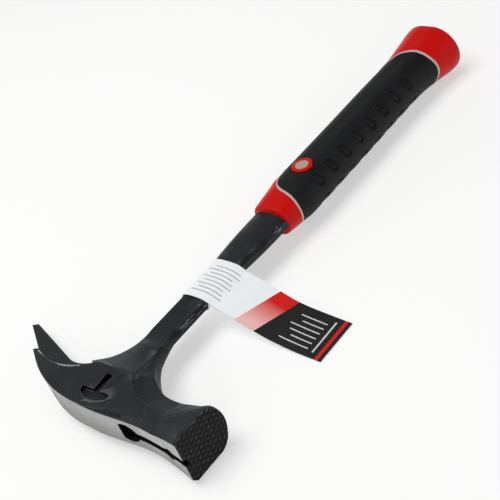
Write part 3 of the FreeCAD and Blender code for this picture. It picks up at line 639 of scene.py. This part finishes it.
def finger_pads(tree, given, x, angle):
    """Share of the groove's depth at a place on the sleeve: the pads have a rounded outline,
    which repeats along both lower shoulders of the grip."""
    from_first = add(tree, MATH, x, FIRST_PAD * MM, operation="SUBTRACT")
    cell = add(tree, MATH, from_first, given["Pad Pitch"], operation="DIVIDE")
    cell = add(tree, MATH, cell, operation="ROUND")
    last = add(tree, MATH, given["Pad Count"], 1.0, operation="SUBTRACT")
    cell = add(tree, MATH, cell, last, operation="MINIMUM")
    cell = add(tree, MATH, cell, 0.0, operation="MAXIMUM")
    centre = add(tree, MATH, cell, given["Pad Pitch"], operation="MULTIPLY")
    beside = add(tree, MATH, from_first, centre, operation="SUBTRACT")
    from_side = add(tree, MATH, angle, math.pi, operation="SUBTRACT")
    from_side = add(tree, MATH, from_side, operation="ABSOLUTE")
    across = add(tree, MATH, from_side, PAD_ROW, operation="SUBTRACT")
    across = add(tree, MATH, across, PALM_DEPTH * MM, operation="MULTIPLY")
    beside = add(tree, MATH, across, PAD_SLANT, beside, operation="MULTIPLY_ADD")

    # distance from the outline, less than zero on the pad
    corner = add(tree, MATH, given["Pad Width"], PAD_CORNER, operation="MULTIPLY")
    over, squares = [], []
    for reach, size in ((beside, "Pad Width"), (across, "Pad Length")):
        reach = add(tree, MATH, reach, operation="ABSOLUTE")
        half = add(tree, MATH, given[size], 0.5, operation="MULTIPLY")
        straight = add(tree, MATH, half, corner, operation="SUBTRACT")
        over.append(add(tree, MATH, reach, straight, operation="SUBTRACT"))
        past = add(tree, MATH, over[-1], 0.0, operation="MAXIMUM")
        squares.append(add(tree, MATH, past, past, operation="MULTIPLY"))
    outer = add(tree, MATH, *squares, operation="ADD")
    outer = add(tree, MATH, outer, operation="SQRT")
    inner = add(tree, MATH, *over, operation="MAXIMUM")
    inner = add(tree, MATH, inner, 0.0, operation="MINIMUM")
    distance = add(tree, MATH, outer, inner, operation="ADD")
    distance = add(tree, MATH, distance, corner, operation="SUBTRACT")

    # a bell-shaped groove along the outline, and the pad inside it sunk a little
    half = add(tree, MATH, given["Groove Width"], 0.5, operation="MULTIPLY")
    share = add(tree, MATH, distance, half, operation="DIVIDE")
    square = add(tree, MATH, share, share, operation="MULTIPLY")
    power = add(tree, MATH, square, -1.0, operation="MULTIPLY")
    groove = add(tree, MATH, power, operation="EXPONENT")
    rest = add(tree, MATH, 1.0, groove, operation="SUBTRACT")
    on_pad = add(tree, MATH, distance, 0.0, operation="LESS_THAN")
    sunk = add(tree, MATH, on_pad, rest, operation="MULTIPLY")
    return add(tree, MATH, sunk, PAD_SINK, groove, operation="MULTIPLY_ADD")


def skin_tree(name, low_line, high_line, ridge):
    """Node tree for a skin of the grip between two lines: its section is an obround turned
    round both side centres, and its half depth follows the ridge."""
    tree = bpy.data.node_groups.new(name, "GeometryNodeTree")
    for label, kind in (
            ("Rows", "Int"), ("Steps", "Int"), ("Crown", "Float"), ("Groove Depth", "Float"),
            ("Groove Width", "Float"), ("Pad Width", "Float"), ("Pad Length", "Float"),
            ("Pad Pitch", "Float"), ("Pad Count", "Int"), ("Material", "Material")):
        tree.interface.new_socket(name=label, in_out="INPUT", socket_type="NodeSocket" + kind)
    tree.interface.new_socket(name="Geometry", in_out="OUTPUT", socket_type="NodeSocketGeometry")
    given = add(tree, "NodeGroupInput").outputs

    # a unit grid, with its X along the handle and its Y round the section
    grid = add(tree, "GeometryNodeMeshGrid", Size_X=1.0, Size_Y=1.0, Vertices_X=given["Rows"],
               Vertices_Y=given["Steps"])
    spot = add(tree, AXES, Vector=add(tree, "GeometryNodeInputPosition"))
    along = add(tree, MATH, spot.outputs["X"], 0.5, operation="ADD")
    around = add(tree, MATH, spot.outputs["Y"], 0.5, operation="ADD")
    ends = (0, QUARTER, QUARTER + FLAT, 1 - QUARTER - FLAT, 1 - QUARTER, 1)
    turns = (0, 0.25, 0.25, 0.75, 0.75, 1)
    shifts = [sign * SIDE_OFFSET * MM for sign in (1, 1, -1, -1, 1, 1)]
    turn = through(tree, around, tuple(zip(ends, turns)), "VECTOR")
    shift = through(tree, around, tuple(zip(ends, shifts)), "VECTOR")
    angle = add(tree, MATH, turn, 2 * math.pi, operation="MULTIPLY")
    outward_y = add(tree, MATH, angle, operation="COSINE")
    outward_z = add(tree, MATH, angle, operation="SINE")
    side = add(tree, MATH, outward_y, PALM_DEPTH * MM, shift, operation="MULTIPLY_ADD")
    low = through(tree, side, scaled(low_line))
    high = through(tree, side, scaled(high_line))
    length = add(tree, MATH, high, low, operation="SUBTRACT")
    x = add(tree, MATH, length, along, low, operation="MULTIPLY_ADD")
    depth = through(tree, x, scaled(ridge))

    # crown: highest at mid width, falling off at both edges
    middle = add(tree, MATH, along, 2.0, -1.0, operation="MULTIPLY_ADD")
    middle = add(tree, MATH, middle, operation="ABSOLUTE")
    fall = add(tree, MATH, middle, 3.0, operation="POWER")
    crown = add(tree, MATH, 1.0, fall, operation="SUBTRACT")
    crown = add(tree, MATH, crown, given["Crown"], operation="MULTIPLY")

    # seat of the bezel round the lock pin, on both broad sides
    from_pin = add(tree, MATH, x, PIN_REACH * MM, operation="SUBTRACT")
    squares = [add(tree, MATH, reach, reach, operation="MULTIPLY") for reach in (from_pin, side)]
    from_pin = add(tree, MATH, *squares, operation="ADD")
    from_pin = add(tree, MATH, from_pin, operation="SQRT")
    seat = add(tree, RANGE, from_pin, SEAT_EDGE * MM, SEAT_FLOOR * MM,
               interpolation_type="SMOOTHSTEP")
    cut = add(tree, MATH, finger_pads(tree, given, x, angle), seat, operation="MAXIMUM")
    removed = add(tree, MATH, cut, given["Groove Depth"], operation="MULTIPLY")
    depth = add(tree, MATH, depth, crown, operation="ADD")
    depth = add(tree, MATH, depth, removed, operation="SUBTRACT")

    y = add(tree, MATH, outward_y, depth, shift, operation="MULTIPLY_ADD")
    y = add(tree, MATH, y, through(tree, x, scaled(GRIP_LEAN)), operation="ADD")
    z = add(tree, MATH, outward_z, depth, operation="MULTIPLY")
    point = add(tree, "ShaderNodeCombineXYZ", X=x, Y=y, Z=z)
    moved = add(tree, VECTOR, point, ORIGIN, operation="ADD")
    skin = add(tree, "GeometryNodeStoreNamedAttribute", data_type="FLOAT", domain="POINT", Name="groove",
               Geometry=grid, Value=cut)
    skin = add(tree, "GeometryNodeSetPosition", Geometry=skin, Position=moved)
    skin = add(tree, "GeometryNodeMergeByDistance", Distance=1e-6, Geometry=skin)
    skin = add(tree, "GeometryNodeRealizeInstances", Geometry=skin)
    skin = add(tree, "GeometryNodeSetMaterial", Geometry=skin, Material=given["Material"])
    add(tree, "NodeGroupOutput", skin)
    return tree


def grow_skin(name, tree, material, **sizes):
    """Runs a node tree on an empty mesh and keeps the result as a plain mesh object."""
    thing = new_object(name, bpy.data.meshes.new(name))
    modifier = thing.modifiers.new("shape", "NODES")
    modifier.node_group = tree
    values = {key.replace("_", " "): value for key, value in sizes.items()}
    values["Material"] = material
    for socket in tree.interface.items_tree:
        if socket.in_out == "INPUT" and socket.name in values:
            modifier[socket.identifier] = values[socket.name]
    graph = bpy.context.evaluated_depsgraph_get()
    mesh = bpy.data.meshes.new_from_object(thing.evaluated_get(graph))
    thing.modifiers.clear()
    thing.data = mesh
    return thing


def end_loops(body):
    """The two open ends of a tube, as lists of edges, the one nearer the head first."""
    left = {edge for edge in body.edges if edge.is_boundary}
    loops = []
    while left:
        edge = left.pop()
        loop, front = [edge], list(edge.verts)
        while front:
            for edge in front.pop().link_edges:
                if edge in left:
                    left.remove(edge)
                    loop.append(edge)
                    front.extend(edge.verts)
        loops.append(loop)
    return sorted(loops, key=lambda loop: sum(v.co.x for e in loop for v in e.verts) / len(loop))


def close_skin(thing, wall, capped):
    """Gives a skin its wall, or closes both its ends."""
    body = bmesh.new()
    body.from_mesh(thing.data)
    if capped:
        for loop in end_loops(body):
            bmesh.ops.contextual_create(body, geom=loop)
    else:
        inner = []
        for loop in end_loops(body):
            made = bmesh.ops.extrude_edge_only(body, edges=loop)["geom"]
            for vert in (item for item in made if isinstance(item, bmesh.types.BMVert)):
                centre = Vector((vert.co.x, ORIGIN.y, ORIGIN.z))
                centre.y += max(min(vert.co.y - ORIGIN.y, SIDE_OFFSET * MM), -SIDE_OFFSET * MM)
                vert.co -= (vert.co - centre).normalized() * wall
            inner += [item for item in made if isinstance(item, bmesh.types.BMEdge)]
        bmesh.ops.bridge_loops(body, edges=inner)
    smooth_mesh(body, thing.data, 50)


def joined_object(name, things):
    """One object from several meshes that share their materials."""
    body = bmesh.new()
    for thing in things:
        body.from_mesh(thing.data)
    mesh = bpy.data.meshes.new(name)
    smooth_mesh(body, mesh, 50)
    for thing in things:
        bpy.data.objects.remove(thing)
    return new_object(name, mesh)


# Operators

class HAMMER_OT_forging(bpy.types.Operator):
    """Paints the forging and grinds its back bright from the claw to the face"""
    bl_idname = "hammer.forging"
    bl_label = "Forging"

    def execute(self, context):
        steel = settings().steel
        forging = merged_copy("forging", "painted_forging", steel.crease_angle)
        settle(forging, "forging", "black_paint", black_paint(), ground_steel(), painted_recess_shade(),
               milled_face())
        mesh = forging.data
        for face in mesh.polygons:
            points = [(mesh.vertices[i].co - ORIGIN) / MM for i in face.vertices]
            face.material_index = self.finish(face.normal, points)
        return {"FINISHED"}

    def finish(self, normal, points):
        """Finish of one face, as its place in the forging's materials."""
        middle = sum(points, Vector()) / len(points)
        if max(point.y for point in points) < FACE_DEPTH - FACE_REACH:
            return MILLED
        if normal.x < -0.6 and all(point.x < self.back(point.y) + BACK_MARGIN for point in points):
            return GROUND
        # the slot's walls and the nail holder's faces take painted shade
        in_slot = inside(middle, SLOT) and normal.z < 0.5
        return RECESS_SHADE if inside(middle, HOLDER) or in_slot else PAINT

    @staticmethod
    def back(y):
        """Place of the ground back along the handle, from a place across it."""
        claw_y, claw_x = BACK_LINE[-1]
        if y > claw_y:
            arc = min(y, CLAW_ARC_END) - claw_y
            past = max(y - CLAW_ARC_END, 0)
            return (claw_x + CLAW_RADIUS - math.sqrt(CLAW_RADIUS ** 2 - arc ** 2)
                    + past * math.tan(CLAW_SLOPE))
        for (low_y, low_x), (high_y, high_x) in zip(BACK_LINE, BACK_LINE[1:]):
            if y <= high_y:
                return low_x + (high_x - low_x) * (y - low_y) / (high_y - low_y)


class HAMMER_OT_magnet(bpy.types.Operator):
    """Plates the nail holder's magnet"""
    bl_idname = "hammer.magnet"
    bl_label = "Magnet"

    def execute(self, context):
        magnet = merged_copy("nail_magnet", "magnet_disc", math.radians(30))
        settle(magnet, "nail_magnet", "magnet", plated_magnet())
        return {"FINISHED"}


class HAMMER_OT_sleeve(bpy.types.Operator):
    """Moulds the black sleeve with its grooved finger pads"""
    bl_idname = "hammer.sleeve"
    bl_label = "Sleeve"

    def execute(self, context):
        grip = settings().grip
        rubber = soft_rubber()
        tree = skin_tree("sleeve_skin", FRONT_LINE, REAR_LINE, SLEEVE_RIDGE)
        sizes = {name.title(): getattr(grip, name) for name in (
            "groove_depth", "groove_width", "pad_width", "pad_length", "pad_pitch", "pad_count")}
        sleeve = grow_skin("rubber_sleeve", tree, rubber, Rows=300, Steps=201, **sizes)
        close_skin(sleeve, grip.wall, False)
        settle(sleeve, "grip_sleeve", "black_rubber", rubber)
        return {"FINISHED"}


class HAMMER_OT_core(bpy.types.Operator):
    """Moulds the red collar and butt of the grip's core"""
    bl_idname = "hammer.core"
    bl_label = "Core"

    def execute(self, context):
        red = red_plastic()
        start = ((-SIDE_REACH, GRIP_START), (0.0, GRIP_START + FLAT_RISE), (SIDE_REACH, GRIP_START))
        end = ((-SIDE_REACH, GRIP_END), (0.0, GRIP_END - FLAT_RISE), (SIDE_REACH, GRIP_END))
        # both mouldings stop inside the pale rings, so that no red shows beside the sleeve
        collar_tree = skin_tree("collar_skin", start, shifted(FRONT_LINE, -RING_LAP), COLLAR_RIDGE)
        butt_tree = skin_tree("butt_skin", shifted(REAR_LINE, RING_LAP), end, BUTT_RIDGE)
        collar = grow_skin("collar", collar_tree, red, Rows=70, Steps=141, **NO_PADS)
        butt = grow_skin("butt", butt_tree, red, Rows=90, Steps=141, **NO_PADS)
        for thing in (collar, butt):
            close_skin(thing, 0, True)
        core = joined_object("red_core", [collar, butt])
        settle(core, "grip_core", "red_plastic", red)
        return {"FINISHED"}


class HAMMER_OT_trims(bpy.types.Operator):
    """Lays the pale rings at both ends of the sleeve"""
    bl_idname = "hammer.trims"
    bl_label = "Trims"

    def execute(self, context):
        grip = settings().grip
        grey = moulded_plastic("moulded_grey", grip.trim, 0.42, 0.02 * MM)
        for node, name, line, ridge, before, after in (
                ("front_trim", "front_ring", FRONT_LINE, SLEEVE_RIDGE, FRONT_RING, 0.0),
                ("rear_trim", "rear_ring", REAR_LINE, BUTT_RIDGE, 0.0, REAR_RING)):
            tree = skin_tree(name + "_skin", shifted(line, -before), shifted(line, after), ridge)
            ring = grow_skin(name, tree, grey, Rows=9, Steps=201, Crown=RING_CROWN * MM, **NO_PADS)
            close_skin(ring, grip.wall, False)
            settle(ring, node, "grey_trim", grey)
        return {"FINISHED"}


class HAMMER_OT_pin(bpy.types.Operator):
    """Faces the lock pin and colours its bezels"""
    bl_idname = "hammer.pin"
    bl_label = "Lock pin"

    def execute(self, context):
        for node, name, slot, material in (
                ("lock_pin", "faced_pin", "pin_steel", faced_steel()),
                ("bezel_near", "near_bezel", "red_plastic", red_plastic()),
                ("bezel_far", "far_bezel", "red_plastic", red_plastic())):
            settle(merged_copy(node, name, math.radians(30)), node, slot, material)
        return {"FINISHED"}


class HAMMER_OT_label(bpy.types.Operator):
    """Wraps the paper label round the shaft, with its flag shaped drooping towards the table"""
    bl_idname = "hammer.label"
    bl_label = "Label"

    def execute(self, context):
        label = new_object("paper_label", self.sheet(settings().label.thickness / MM))
        settle(label, "label", "label_paper", printed_paper())
        return {"FINISHED"}

    @staticmethod
    def path():
        """Smooth path of the paper through its points."""
        back = [(y, z - LAYER_GAP, widening) for y, z, widening in PAPER_TOP[:FLAG_POINTS]]
        knots = [*PAPER_TOP, *reversed(back)]
        points = []
        for i, (a, b) in enumerate(zip(knots, knots[1:])):
            before, after = knots[max(i - 1, 0)], knots[min(i + 2, len(knots) - 1)]
            for step in range(PATH_STEPS):
                t = step / PATH_STEPS
                points.append(tuple(
                    0.5 * (2 * a[k] + (b[k] - before[k]) * t
                           + (2 * before[k] - 5 * a[k] + 4 * b[k] - after[k]) * t * t
                           + (3 * a[k] - before[k] - 3 * b[k] + after[k]) * t ** 3) for k in range(3)))
        points.append(knots[-1])
        return points

    def sheet(self, thickness):
        """Closed mesh of the folded strip, with a UV map of (length, width) in decimetres."""
        path = self.path()
        ring = [(j, thickness / 2) for j in range(PAPER_COLUMNS + 1)]
        ring += [(j, -offset) for j, offset in reversed(ring)]
        length = 0.0
        points, places = [], []
        for i, (y, z, widening) in enumerate(path):
            a, b = path[max(i - 1, 0)], path[min(i + 1, len(path) - 1)]
            length += math.dist(a[:2], (y, z))
            run = math.dist(a[:2], b[:2])
            out_y, out_z = -(b[1] - a[1]) / run, (b[0] - a[0]) / run
            for j, offset in ring:
                share = j / PAPER_COLUMNS
                spread = WRAP_SPREAD * share * widening * math.copysign(ramp(abs(y), 0, SHAFT_REACH), y)
                # the side towards the butt turns a little more than the head side
                turn = FLAG_TURN * max(-y - FLAG_START, 0) * (0.8 + 0.2 * share)
                wave = WAVE_HEIGHT * math.sin(3 * share + y / 9) * ramp(-y, *WAVE_RISE)
                wave *= ramp(y, *WAVE_FALL)
                points.append(place(PAPER_START + PAPER_WIDTH * share - turn,
                                    y + spread + out_y * offset, z + wave + out_z * offset))
                places.append((length / 100, PAPER_WIDTH * share / 100))
        row = len(ring)
        last = row * (len(path) - 1)
        faces = []
        for here in range(0, last, row):
            for j in range(row):
                after = (j + 1) % row
                faces.append((here + j, here + after, here + row + after, here + row + j))
        for here in (0, last):
            for j in range(PAPER_COLUMNS):
                faces.append((here + j, here + j + 1, here + row - 2 - j, here + row - 1 - j))
        mesh = mesh_from("paper_label", points, faces)
        body = bmesh.new()
        body.from_mesh(mesh)
        smooth_mesh(body, mesh, 60)
        chart = mesh.uv_layers.new(name="print")
        for loop in mesh.loops:
            chart.data[loop.index].uv = places[loop.vertex_index]
        return mesh


class HAMMER_OT_studio(bpy.types.Operator):
    """Sets the pale floor, the soft lights and the camera"""
    bl_idname = "hammer.studio"
    bl_label = "Studio"

    def execute(self, context):
        studio = settings().studio
        scene = context.scene
        scene.view_settings.view_transform = "Standard"
        self.floor(studio)
        self.lights(scene, studio)
        self.camera(scene)
        return {"FINISHED"}

    def floor(self, studio):
        reach = 4.0
        corners = [(-reach, -reach, 0), (reach, -reach, 0), (reach, reach, 0), (-reach, reach, 0)]
        floor = new_object("floor", mesh_from("floor", corners, [(0, 1, 2, 3)]))
        # the floor shows itself half lit and half glowing, so that it stays white round the shadows
        material, tree = new_material("pale_floor")
        diffuse = add(tree, "ShaderNodeBsdfDiffuse", Color=studio.floor)
        glow = add(tree, "ShaderNodeEmission", Color=(1, 1, 1, 1), Strength=1.0)
        path = add(tree, "ShaderNodeLightPath").outputs
        seen = add(tree, MATH, path["Is Camera Ray"], path["Is Glossy Ray"], operation="MAXIMUM")
        seen = add(tree, MATH, seen, path["Is Transmission Ray"], operation="MAXIMUM")
        share = add(tree, MATH, seen, 0.5, operation="MULTIPLY")
        mix = add(tree, "ShaderNodeMixShader", share, diffuse, glow)
        floor.data.materials.append(finished(material, mix))

    def lights(self, scene, studio):
        for name, power, size, spot in (
                ("key", studio.key_power, 1.0, Vector((-0.32, 0.24, 1.35))),
                ("fill", studio.fill_power, 0.8, Vector((-0.9, -0.9, 0.7)))):
            light = bpy.data.lights.new(name, "AREA")
            light.energy = power
            light.shape = "DISK"
            light.size = size
            lamp = new_object(name, light)
            lamp.location = spot
            lamp.rotation_euler = (-spot).to_track_quat("-Z", "Y").to_euler()
        world = bpy.data.worlds.new("even_white")
        world.use_nodes = True
        tree = world.node_tree
        # white round the horizon and dimmer overhead, like the walls and ceiling of a studio
        towards = add(tree, AXES, add(tree, "ShaderNodeTexCoord").outputs["Object"])
        strength = add(tree, RANGE, towards.outputs["Z"], 0.15, 0.55, 1.0, studio.sky)
        background = tree.nodes["Background"]
        background.inputs["Color"].default_value = (1, 1, 1, 1)
        tree.links.new(strength.outputs[0], background.inputs["Strength"])
        scene.world = world

    def camera(self, scene):
        right = CAMERA_LOOK.cross(CAMERA_UP).normalized()
        data = bpy.data.cameras.new("camera")
        data.sensor_width = 36.0
        data.lens = CAMERA_LENS
        data.clip_end = 20.0
        camera = new_object("camera", data)
        turn = Matrix((right, right.cross(CAMERA_LOOK), -CAMERA_LOOK)).transposed().to_4x4()
        camera.matrix_world = Matrix.Translation(place(*CAMERA_PLACE)) @ turn
        scene.camera = camera


class HAMMER_PT_panel(bpy.types.Panel):
    """Sizes, colours and steps of the roofing hammer"""
    bl_idname = "HAMMER_PT_panel"
    bl_label = "Roofing Hammer"
    bl_space_type = "VIEW_3D"
    bl_region_type = "UI"
    bl_category = "Hammer"

    def draw(self, context):
        hammer = context.scene.hammer
        for part in ("steel", "grip", "label", "studio"):
            group = getattr(hammer, part)
            box = self.layout.box()
            box.label(text=part.capitalize())
            for name in group.bl_rna.properties.keys():
                if name not in ("name", "rna_type"):
                    box.prop(group, name)
        for operator in OPERATORS:
            self.layout.operator(operator.bl_idname)


OPERATORS = (HAMMER_OT_forging, HAMMER_OT_magnet, HAMMER_OT_sleeve, HAMMER_OT_core, HAMMER_OT_trims,
             HAMMER_OT_pin, HAMMER_OT_label, HAMMER_OT_studio)
CLASSES = (SteelSettings, GripSettings, LabelSettings, StudioSettings, HammerSettings,
           *OPERATORS, HAMMER_PT_panel)


def register():
    for entry in CLASSES:
        bpy.utils.register_class(entry)
    bpy.types.Scene.hammer = PointerProperty(type=HammerSettings)


def unregister():
    del bpy.types.Scene.hammer
    for entry in reversed(CLASSES):
        bpy.utils.unregister_class(entry)


def main():
    register()
    bpy.ops.hammer.forging()
    bpy.ops.hammer.magnet()
    bpy.ops.hammer.sleeve()
    bpy.ops.hammer.core()
    bpy.ops.hammer.trims()
    bpy.ops.hammer.pin()
    bpy.ops.hammer.label()
    bpy.ops.hammer.studio()


if __name__ == "__main__":
    main()
